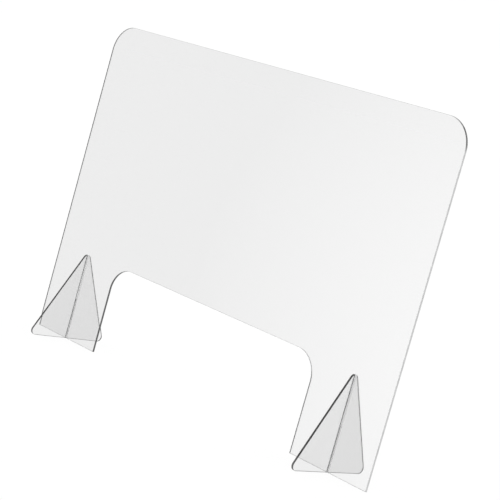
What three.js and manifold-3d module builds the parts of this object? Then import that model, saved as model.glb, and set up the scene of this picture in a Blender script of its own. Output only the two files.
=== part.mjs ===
// Clear acrylic counter screen, held upright by two triangular feet.
//
// Three flat pieces are cut from one sheet stock and pushed together without screws or glue.
// Each foot crosses the screen at right angles in a half lap: a slot up from the screen's bottom
// edge meets a slot down from the foot's tip, so all three pieces stand on the counter together.
//
// Frame: millimetres, +Z up, origin on the counter below the middle of the screen.
// X runs along the screen and Y through its thickness, with -Y towards the customer.

import * as THREE from "three";
import { mergeVertices } from "three/addons/utils/BufferGeometryUtils.js";
import Module from "manifold-3d";

const wasm = await Module();
wasm.setup();

// ---- Driving dimensions, mm ----

const sheetThickness = 4; // all three pieces

// Screen
const screenWidth = 900;
const screenHeight = 600;
const screenCornerRadius = 50; // the two top corners
const passWidth = 546; // the opening in the bottom edge that plates and trays pass through
const passHeight = 168;
const passCornerRadius = 45; // the opening's two top corners

// Feet: an upright triangle, measured to its sharp corners before they are rounded
const footBase = 180;
const footPeak = 176;
const footCornerRadius = 9;

// Half lap
const lapHeight = 78; // where the slots of screen and foot meet, above the counter
const slotClearance = 0.3; // on each side of a sheet in its slot, and between the slots' ends

// ---- Values that follow from them ----

const slotWidth = sheetThickness + 2 * slotClearance;
const screenSlotEnd = lapHeight + slotClearance / 2;
const footSlotEnd = lapHeight - slotClearance / 2;
const footOffset = (screenWidth + passWidth) / 4; // the middle of each leg beside the opening

const arcSteps = 14; // segments of a rounded corner are twice this
const overcut = 5; // how far a cutting block stands out of the sheet

// ---- Helpers ----

// An anticlockwise outline from corners of [x, y, radius]. A radius of 0 leaves the corner sharp.
function roundedOutline(corners) {
  const shape = new THREE.Shape();
  corners.forEach(([x, y, radius], i) => {
    const corner = new THREE.Vector2(x, y);
    if (radius === 0) {
      if (i === 0) shape.moveTo(x, y);
      else shape.lineTo(x, y);
      return;
    }
    const [beforeX, beforeY] = corners.at(i - 1);
    const [afterX, afterY] = corners[(i + 1) % corners.length];
    const toBefore = new THREE.Vector2(beforeX, beforeY).sub(corner).normalize();
    const toAfter = new THREE.Vector2(afterX, afterY).sub(corner).normalize();
    const halfAngle = Math.acos(toBefore.dot(toAfter)) / 2;
    const middle = toBefore.clone().add(toAfter).normalize();
    const centre = corner.clone().addScaledVector(middle, radius / Math.sin(halfAngle));
    const tangent = radius / Math.tan(halfAngle);
    const start = corner.clone().addScaledVector(toBefore, tangent).sub(centre).angle();
    const end = corner.clone().addScaledVector(toAfter, tangent).sub(centre).angle();
    const inward = toAfter.cross(toBefore) < 0;
    shape.absarc(centre.x, centre.y, radius, start, end, inward);
  });
  return shape;
}

// A sheet of the stock with the given outline, from local z = 0 up.
function sheet(outline) {
  return new THREE.ExtrudeGeometry(outline, {
    depth: sheetThickness,
    bevelEnabled: false,
    curveSegments: arcSteps,
  });
}

// A block that cuts a slot through a sheet, from fromY to toY at the middle x.
function slotBlock(middleX, fromY, toY) {
  const block = new THREE.BoxGeometry(slotWidth, toY - fromY, sheetThickness + 2 * overcut);
  return block.translate(middleX, (fromY + toY) / 2, sheetThickness / 2);
}

function toSolid(geometry) {
  geometry.deleteAttribute("normal");
  geometry.deleteAttribute("uv");
  const merged = mergeVertices(geometry);
  return new wasm.Manifold(
    new wasm.Mesh({
      numProp: 3,
      vertProperties: new Float32Array(merged.getAttribute("position").array),
      triVerts: new Uint32Array(merged.getIndex().array),
    }),
  );
}

function toGeometry(solid) {
  const mesh = solid.getMesh();
  const geometry = new THREE.BufferGeometry();
  geometry.setAttribute("position", new THREE.BufferAttribute(mesh.vertProperties, 3));
  geometry.setIndex(new THREE.BufferAttribute(mesh.triVerts, 1));
  geometry.computeVertexNormals();
  return geometry;
}

function cut(geometry, blocks) {
  const start = toSolid(geometry);
  const solid = blocks.reduce((left, block) => left.subtract(toSolid(block)), start);
  return toGeometry(solid);
}

function clearAcrylic(colour) {
  return new THREE.MeshStandardMaterial({
    color: colour,
    roughness: 0.05,
    metalness: 0,
    transparent: true,
    opacity: 0.35,
  });
}

// ---- Pieces ----

function makeScreen() {
  const side = screenWidth / 2;
  const passSide = passWidth / 2;
  const outline = roundedOutline([
    [-side, 0, 0],
    [-passSide, 0, 0],
    [-passSide, passHeight, passCornerRadius],
    [passSide, passHeight, passCornerRadius],
    [passSide, 0, 0],
    [side, 0, 0],
    [side, screenHeight, screenCornerRadius],
    [-side, screenHeight, screenCornerRadius],
  ]);
  const slots = [-footOffset, footOffset].map((x) => slotBlock(x, -overcut, screenSlotEnd));
  const screen = new THREE.Mesh(cut(sheet(outline), slots), clearAcrylic(0xedefef));
  screen.name = "screen";
  screen.rotation.x = Math.PI / 2; // outline up, thickness along Y
  screen.position.y = sheetThickness / 2;
  return screen;
}

function makeFoot(name, x) {
  const outline = roundedOutline([
    [-footBase / 2, 0, footCornerRadius],
    [footBase / 2, 0, footCornerRadius],
    [0, footPeak, footCornerRadius],
  ]);
  const slot = slotBlock(0, footSlotEnd, footPeak + overcut);
  const foot = new THREE.Mesh(cut(sheet(outline), [slot]), clearAcrylic(0xe6e8e8));
  foot.name = name;
  foot.rotation.set(Math.PI / 2, Math.PI / 2, 0); // outline up, base along Y, thickness along X
  foot.position.x = x - sheetThickness / 2;
  return foot;
}

// ---- Assembly ----

const counterScreen = new THREE.Group();
counterScreen.add(makeScreen());
counterScreen.add(makeFoot("left_foot", -footOffset));
counterScreen.add(makeFoot("right_foot", footOffset));

export default counterScreen;
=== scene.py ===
"""A clear acrylic counter screen on two slot-in feet, standing in a white studio."""

import math

import bmesh
import bpy
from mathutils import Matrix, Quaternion, Vector


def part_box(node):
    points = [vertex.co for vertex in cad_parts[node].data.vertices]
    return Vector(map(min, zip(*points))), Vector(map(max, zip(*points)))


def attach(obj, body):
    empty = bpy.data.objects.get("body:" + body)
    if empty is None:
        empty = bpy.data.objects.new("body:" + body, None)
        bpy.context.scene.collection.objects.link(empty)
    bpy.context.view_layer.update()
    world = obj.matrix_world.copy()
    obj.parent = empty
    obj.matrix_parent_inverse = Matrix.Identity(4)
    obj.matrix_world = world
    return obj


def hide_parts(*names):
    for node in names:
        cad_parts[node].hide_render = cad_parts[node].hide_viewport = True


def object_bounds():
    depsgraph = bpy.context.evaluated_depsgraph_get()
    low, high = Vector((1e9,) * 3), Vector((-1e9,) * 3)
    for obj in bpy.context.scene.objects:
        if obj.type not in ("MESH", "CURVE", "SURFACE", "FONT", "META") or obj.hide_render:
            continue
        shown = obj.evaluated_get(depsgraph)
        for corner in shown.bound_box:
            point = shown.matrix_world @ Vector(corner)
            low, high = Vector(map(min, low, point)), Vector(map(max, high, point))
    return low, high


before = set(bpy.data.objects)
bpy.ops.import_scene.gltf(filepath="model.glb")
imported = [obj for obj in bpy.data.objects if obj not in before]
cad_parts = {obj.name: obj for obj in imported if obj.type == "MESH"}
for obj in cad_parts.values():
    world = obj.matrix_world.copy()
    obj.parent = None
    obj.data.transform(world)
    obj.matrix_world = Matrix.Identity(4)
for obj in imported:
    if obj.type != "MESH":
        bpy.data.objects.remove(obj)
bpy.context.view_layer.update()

# ---- Sizes, in metres ----

WELD = 0.0001  # corners nearer than this become one
SAME_PLANE = math.radians(0.5)
ARRIS = 0.00035  # the rounded edge between a sheet's faces and its cut edges
ARRIS_STEPS = 3
SHARP_CORNER = math.radians(35)

LAP_HEIGHT = 0.08  # just above the half lap
EDGE_DEPTH = 0.001  # a face nearer than this to the outline's limit belongs to it
SLOT_REACH = 0.005  # a cut edge nearer than this to a slot's middle is inside it

# ---- Directions, as parts of a unit normal ----

FLAT = 0.9999  # a polished face
ACROSS = 0.9  # a slot wall faces across its slot by at least this
UPRIGHT = 0.3  # an upright wall's normal rises or falls by less than this
X_AXIS, Y_AXIS = 0, 1
ALONG_SCREEN = (1, 0, 1)
ALONG_FOOT = (0, 1, 1)

# ---- Camera, from the middle of the object ----

AIM_OFFSET = Vector((0.055, 0.0, -0.012))
CAMERA_DISTANCE = 2.892
CAMERA_AZIMUTH = math.radians(45.44)
CAMERA_ELEVATION = math.radians(5.93)
CAMERA_ROLL = math.radians(15.70)
SENSOR_WIDTH = 36.0
LENS = 121.66  # in millimetres, as is the sensor

# ---- Acrylic ----

ACRYLIC_IOR = 1.49
SCREEN_TINT = (0.86, 0.86, 0.86, 1)
FOOT_TINT = (0.888, 0.888, 0.888, 1)
ABSORPTION_COLOUR = (0.5, 0.5, 0.5, 1)
ABSORPTION_DENSITY = 15.0
EDGE_CLARITY = 0.15
# Painted light: the emission on the walls of the feet's slots.
SLOT_PAINTED_LIGHT = 0.48
# Painted shade, dark, and painted light, pale: colours laid on the cut edges for how the studio's light
# falls on clear acrylic edges.
PAINTED_SHADE_EDGE = (0.02, 0.02, 0.02, 1)
PAINTED_LIGHT_EDGE = (0.95, 0.95, 0.95, 1)
WAVE_HEIGHT = 0.00004
SAW_LINE_HEIGHT = 0.00008

# ---- Painted shade and painted light on the cut edges, from 0, painted dark, to 1, painted pale ----

# Each blend runs from the first tone to the second between two rises of the outward direction.

TOP_TONE = 0.3
RIGHT_SIDE_TONE = 0.67
RIGHT_CORNER_TONE = 0.1
LEFT_SIDE_TONE = 0.0
PASS_LEFT_TONE = 0.1
PASS_TOP_TONE = 1.0
BASE_TONE = 1.0
SLOT_TONE = 1.0
FOOT_SIDE_TONE = 0.0
FOOT_BACK_PEAK_TONE = 0.9
FOOT_BASE_TONE = 0.5

RIGHT_CORNER_BLEND = (0.0, 0.25)
RIGHT_TOP_BLEND = (0.985, 1.0)
LEFT_TOP_BLEND = (0.9, 1.0)
PASS_TOP_BLEND = (0.1, 0.5)
FOOT_BACK_PEAK_BLEND = (0.5, 0.8)
PASS_LEFT_DIRECTION = 0.1  # the opening's left side faces right by more than this

# ---- Studio ----

STUDIO_LIGHT = 1.01  # as bright as the floor, so that no horizon shows through the sheets
FLOOR_RADIUS = 60.0
FLOOR_DROP = 0.0003  # keeps the bases clear of the floor's surface
FLOOR_ALBEDO = 0.05
FLOOR_GLOW = 0.96

# A gridded card of light in front of the screen's right side, seen only in its reflection.

CARD_WIDTH = 0.45
CARD_HEIGHT = 0.8
CARD_DISTANCE = 0.06
CARD_ASIDE = 0.18
CARD_AZIMUTH = math.radians(30)
CARD_DIP = math.radians(7.6)
CARD_SPREAD = math.radians(34)
CARD_POWER = 0.136


# ---- Node helpers ----

# Places of a Mix node's sockets when it mixes colours.
MIX_FACTOR = 0
MIX_A = 6
MIX_B = 7
MIX_RESULT = 2


def new_material(name):
    """A node material, its tree and its Principled shader."""
    material = bpy.data.materials.new(name)
    material.use_nodes = True
    tree = material.node_tree
    shader = tree.nodes["Principled BSDF"]
    return material, tree, shader


def add(tree, kind, **settings):
    """A node of that kind, with its properties and unlinked inputs set by name."""
    node = tree.nodes.new(kind)
    for name, value in settings.items():
        if hasattr(node, name):
            setattr(node, name, value)
        else:
            node.inputs[name.replace("_", " ")].default_value = value
    return node


def ramp(tree, source, low, high, from_low, from_high):
    """source, spread from the range from_low to from_high onto low to high."""
    node = add(tree, "ShaderNodeMapRange", From_Min=from_low, From_Max=from_high, To_Min=low, To_Max=high)
    tree.links.new(source, node.inputs["Value"])
    return node.outputs["Result"]


# ---- Materials ----

def sheet_face(name, tint):
    """The polished faces: clear, faintly grey, with the slow waves of extruded sheet."""
    material, tree, shader = new_material(name)
    shader.inputs["IOR"].default_value = ACRYLIC_IOR
    shader.inputs["Transmission Weight"].default_value = 1.0
    shader.inputs["Base Color"].default_value = tint
    place = add(tree, "ShaderNodeTexCoord").outputs["Object"]
    haze = add(tree, "ShaderNodeTexNoise", Scale=14.0, Detail=4.0, Roughness=0.6)
    tree.links.new(place, haze.inputs["Vector"])
    tree.links.new(ramp(tree, haze.outputs["Fac"], 0.0, 0.03, 0.45, 0.8), shader.inputs["Roughness"])
    waves = add(tree, "ShaderNodeTexNoise", Scale=5.0, Detail=1.0)
    tree.links.new(place, waves.inputs["Vector"])
    bump = add(tree, "ShaderNodeBump", Strength=1.0, Distance=WAVE_HEIGHT)
    tree.links.new(waves.outputs["Fac"], bump.inputs["Height"])
    tree.links.new(bump.outputs["Normal"], shader.inputs["Normal"])
    volume = add(tree, "ShaderNodeVolumeAbsorption", Color=ABSORPTION_COLOUR, Density=ABSORPTION_DENSITY)
    tree.links.new(volume.outputs["Volume"], tree.nodes["Material Output"].inputs["Volume"])
    return material


def cut_edge(name, along, glow=0.0):
    """The cut edges: fine lines across the sheet's thickness, over the painted shade and painted light
    stored on each face.

    glow is painted light: a white emission that brightens the cut, though it is no lamp.
    """
    material, tree, shader = new_material(name)
    shader.inputs["Emission Color"].default_value = (1, 1, 1, 1)
    shader.inputs["Emission Strength"].default_value = glow
    shader.inputs["IOR"].default_value = ACRYLIC_IOR
    shader.inputs["Transmission Weight"].default_value = EDGE_CLARITY
    place = add(tree, "ShaderNodeTexCoord").outputs["Object"]
    lengthwise = add(tree, "ShaderNodeMapping", Scale=along)
    tree.links.new(place, lengthwise.inputs["Vector"])
    lines = add(tree, "ShaderNodeTexNoise", Scale=900.0, Detail=3.0)
    tree.links.new(lengthwise.outputs["Vector"], lines.inputs["Vector"])
    tone = add(tree, "ShaderNodeAttribute", attribute_name="edge_painted_shading").outputs["Fac"]
    uneven = add(tree, "ShaderNodeTexNoise", Scale=40.0, Detail=2.0)
    tree.links.new(lengthwise.outputs["Vector"], uneven.inputs["Vector"])
    shift = ramp(tree, uneven.outputs["Fac"], -0.08, 0.08, 0.3, 0.7)
    mixed = add(tree, "ShaderNodeMath", operation="ADD")
    tree.links.new(tone, mixed.inputs[0])
    tree.links.new(shift, mixed.inputs[1])
    colour = add(tree, "ShaderNodeMix", data_type="RGBA")
    colour.inputs[MIX_A].default_value = PAINTED_SHADE_EDGE
    colour.inputs[MIX_B].default_value = PAINTED_LIGHT_EDGE
    tree.links.new(mixed.outputs[0], colour.inputs[MIX_FACTOR])
    tree.links.new(colour.outputs[MIX_RESULT], shader.inputs["Base Color"])
    tree.links.new(ramp(tree, lines.outputs["Fac"], 0.15, 0.35, 0.3, 0.7), shader.inputs["Roughness"])
    bump = add(tree, "ShaderNodeBump", Strength=0.4, Distance=SAW_LINE_HEIGHT)
    tree.links.new(lines.outputs["Fac"], bump.inputs["Height"])
    tree.links.new(bump.outputs["Normal"], shader.inputs["Normal"])
    return material


def floor_material():
    """A dull white that mostly glows by itself, so that it takes almost no shadow."""
    material, tree, shader = new_material("studio_floor")
    shader.inputs["Base Color"].default_value = (FLOOR_ALBEDO, FLOOR_ALBEDO, FLOOR_ALBEDO, 1)
    shader.inputs["Roughness"].default_value = 1.0
    shader.inputs["Specular IOR Level"].default_value = 0.0
    shader.inputs["Emission Color"].default_value = (1, 1, 1, 1)
    shader.inputs["Emission Strength"].default_value = FLOOR_GLOW
    return material


# ---- Pieces ----

# Places in a piece's list of materials. The third holds the feet's slot walls, which carry painted light.
POLISHED, SAWN, PAINTED_LIGHT_WALL = range(3)


def fine_sheet(name, node, thickness_axis, wall_kind, materials):
    """The CAD sheet with its faces made whole, its arrises rounded and its cut edges set apart.

    wall_kind gives the place in materials of a face that isn't on the two polished sides.
    """
    mesh = bmesh.new()
    mesh.from_mesh(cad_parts[node].data)
    bmesh.ops.remove_doubles(mesh, verts=mesh.verts, dist=WELD)
    bmesh.ops.dissolve_limit(mesh, angle_limit=SAME_PLANE, verts=mesh.verts, edges=mesh.edges)
    mesh.normal_update()
    faces = [f for f in mesh.faces if abs(f.normal[thickness_axis]) > FLAT]
    rims = [e for e in mesh.edges if sum(f in faces for f in e.link_faces) == 1]
    bmesh.ops.bevel(mesh, geom=rims, offset=ARRIS, segments=ARRIS_STEPS, profile=0.5,
                    affect="EDGES", clamp_overlap=True)
    mesh.normal_update()
    flat = [abs(f.normal[thickness_axis]) > FLAT for f in mesh.faces]
    for f, is_flat in zip(mesh.faces, flat):
        f.material_index = POLISHED if is_flat else wall_kind(f.calc_center_median(), f.normal)
    data = bpy.data.meshes.new(name)
    mesh.to_mesh(data)
    mesh.free()
    data.set_sharp_from_angle(angle=SHARP_CORNER)
    data.polygons.foreach_set("use_smooth", [not is_flat for is_flat in flat])
    for material in materials:
        data.materials.append(material)
    piece = bpy.data.objects.new(name, data)
    bpy.context.scene.collection.objects.link(piece)
    return piece


def paint_edges(piece, tone):
    """Stores each face's painted shade and light, a function of its middle and its normal."""
    layer = piece.data.attributes.new("edge_painted_shading", "FLOAT", "FACE")
    layer.data.foreach_set("value", [tone(f.center, f.normal) for f in piece.data.polygons])


def blend(value, low, high):
    """0 up to low, 1 from high, and straight between them."""
    return min(max((value - low) / (high - low), 0.0), 1.0)


screen_low, screen_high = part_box("screen")
slot_places = [sum(corner.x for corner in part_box(side + "_foot")) / 2 for side in ("left", "right")]


def in_screen_slot(centre):
    return centre.z < LAP_HEIGHT and any(abs(centre.x - x) < SLOT_REACH for x in slot_places)


def screen_wall(centre, normal):
    return POLISHED if in_screen_slot(centre) and normal.x < -ACROSS else SAWN


def foot_wall(centre, normal):
    if abs(centre.y) > SLOT_REACH or centre.z < EDGE_DEPTH or abs(normal.y) < ACROSS:
        return SAWN
    # Slot walls facing -y get the slot material with painted light.
    return POLISHED if normal.y > 0 else PAINTED_LIGHT_WALL


def screen_painted_shading(centre, normal):
    """The painted shade and light of a face of the screen. Each stretch of the outline faces outwards in
    its own direction.
    """
    outwards = Vector((normal.x, normal.z)).normalized() if abs(normal.y) < FLAT else Vector((0, 0))
    if centre.z < screen_low.z + EDGE_DEPTH:
        return BASE_TONE
    if in_screen_slot(centre):
        return SLOT_TONE
    outer = abs(centre.x) > screen_high.x - EDGE_DEPTH or centre.z > screen_high.z / 2
    if outer and outwards.x > 0:
        corner = blend(outwards.y, *RIGHT_CORNER_BLEND)
        top = blend(outwards.y, *RIGHT_TOP_BLEND)
        return (1 - corner) * RIGHT_SIDE_TONE + corner * ((1 - top) * RIGHT_CORNER_TONE + top * TOP_TONE)
    if outer:
        return TOP_TONE * blend(outwards.y, *LEFT_TOP_BLEND) + LEFT_SIDE_TONE
    if outwards.x > PASS_LEFT_DIRECTION:
        return PASS_LEFT_TONE
    return PASS_TOP_TONE * blend(-outwards.y, *PASS_TOP_BLEND)


def foot_painted_shading(centre, normal):
    """The painted shade and light of a face of a foot."""
    outwards = Vector((normal.y, normal.z)).normalized() if abs(normal.x) < FLAT else Vector((0, 0))
    if centre.z < screen_low.z + EDGE_DEPTH:
        return FOOT_BASE_TONE
    if abs(centre.y) < SLOT_REACH and abs(outwards.y) < UPRIGHT:
        return SLOT_TONE
    if centre.y > 0:
        peak = blend(outwards.y, *FOOT_BACK_PEAK_BLEND)
        return FOOT_SIDE_TONE + (FOOT_BACK_PEAK_TONE - FOOT_SIDE_TONE) * peak
    return FOOT_SIDE_TONE


# ---- Staging ----

def make_floor():
    bpy.ops.mesh.primitive_circle_add(vertices=96, radius=FLOOR_RADIUS, fill_type="NGON",
                                      location=(0, 0, -FLOOR_DROP))
    floor = bpy.context.object
    floor.name = "studio_floor"
    floor.data.materials.append(floor_material())
    floor.visible_glossy = False  # the card's reflection goes on below the floor's level


def make_world():
    world = bpy.data.worlds.new("studio")
    world.use_nodes = True
    back = world.node_tree.nodes["Background"]
    back.inputs["Color"].default_value = (1, 1, 1, 1)
    back.inputs["Strength"].default_value = STUDIO_LIGHT
    bpy.context.scene.world = world


def make_card():
    data = bpy.data.lights.new("reflection_card", "AREA")
    data.shape = "RECTANGLE"
    data.size = CARD_WIDTH
    data.size_y = CARD_HEIGHT
    data.spread = CARD_SPREAD
    data.energy = CARD_POWER
    card = bpy.data.objects.new("reflection_card", data)
    towards = Vector((
        -math.sin(CARD_AZIMUTH) * math.cos(CARD_DIP),
        -math.cos(CARD_AZIMUTH) * math.cos(CARD_DIP),
        -math.sin(CARD_DIP),
    ))
    aside = Vector((math.cos(CARD_AZIMUTH), -math.sin(CARD_AZIMUTH), 0))
    low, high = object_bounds()
    card.location = (low + high) / 2 + towards * CARD_DISTANCE + aside * CARD_ASIDE
    card.rotation_mode = "QUATERNION"
    card.rotation_quaternion = towards.to_track_quat("Z", "Y")
    card.visible_camera = False
    card.visible_diffuse = False
    card.visible_transmission = False
    card.visible_volume_scatter = False
    bpy.context.scene.collection.objects.link(card)


def make_camera():
    low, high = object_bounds()
    aim = (low + high) / 2 + AIM_OFFSET
    back = Vector((
        math.sin(CAMERA_AZIMUTH) * math.cos(CAMERA_ELEVATION),
        -math.cos(CAMERA_AZIMUTH) * math.cos(CAMERA_ELEVATION),
        math.sin(CAMERA_ELEVATION),
    ))
    data = bpy.data.cameras.new("camera")
    data.sensor_width = SENSOR_WIDTH
    data.lens = LENS
    camera = bpy.data.objects.new("camera", data)
    camera.location = aim + back * CAMERA_DISTANCE
    camera.rotation_mode = "QUATERNION"
    level = (-back).to_track_quat("-Z", "Y")
    camera.rotation_quaternion = level @ Quaternion((0, 0, 1), CAMERA_ROLL)
    bpy.context.scene.collection.objects.link(camera)
    bpy.context.scene.camera = camera


make_camera()
make_world()
make_card()
make_floor()
bpy.context.scene.view_settings.view_transform = "Standard"

screen_face = sheet_face("screen_face", SCREEN_TINT)
foot_face = sheet_face("foot_face", FOOT_TINT)
screen_edge = cut_edge("screen_edge", ALONG_SCREEN)
foot_edge = cut_edge("foot_edge", ALONG_FOOT)
foot_slot_painted_light = cut_edge("foot_slot_painted_light", ALONG_FOOT, SLOT_PAINTED_LIGHT)

screen = fine_sheet("screen_sheet", "screen", Y_AXIS, screen_wall, [screen_face, screen_edge])
paint_edges(screen, screen_painted_shading)
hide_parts("screen")
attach(screen, "screen")

for side in ("left", "right"):
    foot_materials = [foot_face, foot_edge, foot_slot_painted_light]
    foot = fine_sheet(side + "_foot_plate", side + "_foot", X_AXIS, foot_wall, foot_materials)
    paint_edges(foot, foot_painted_shading)
    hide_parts(side + "_foot")
    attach(foot, side + "_foot")
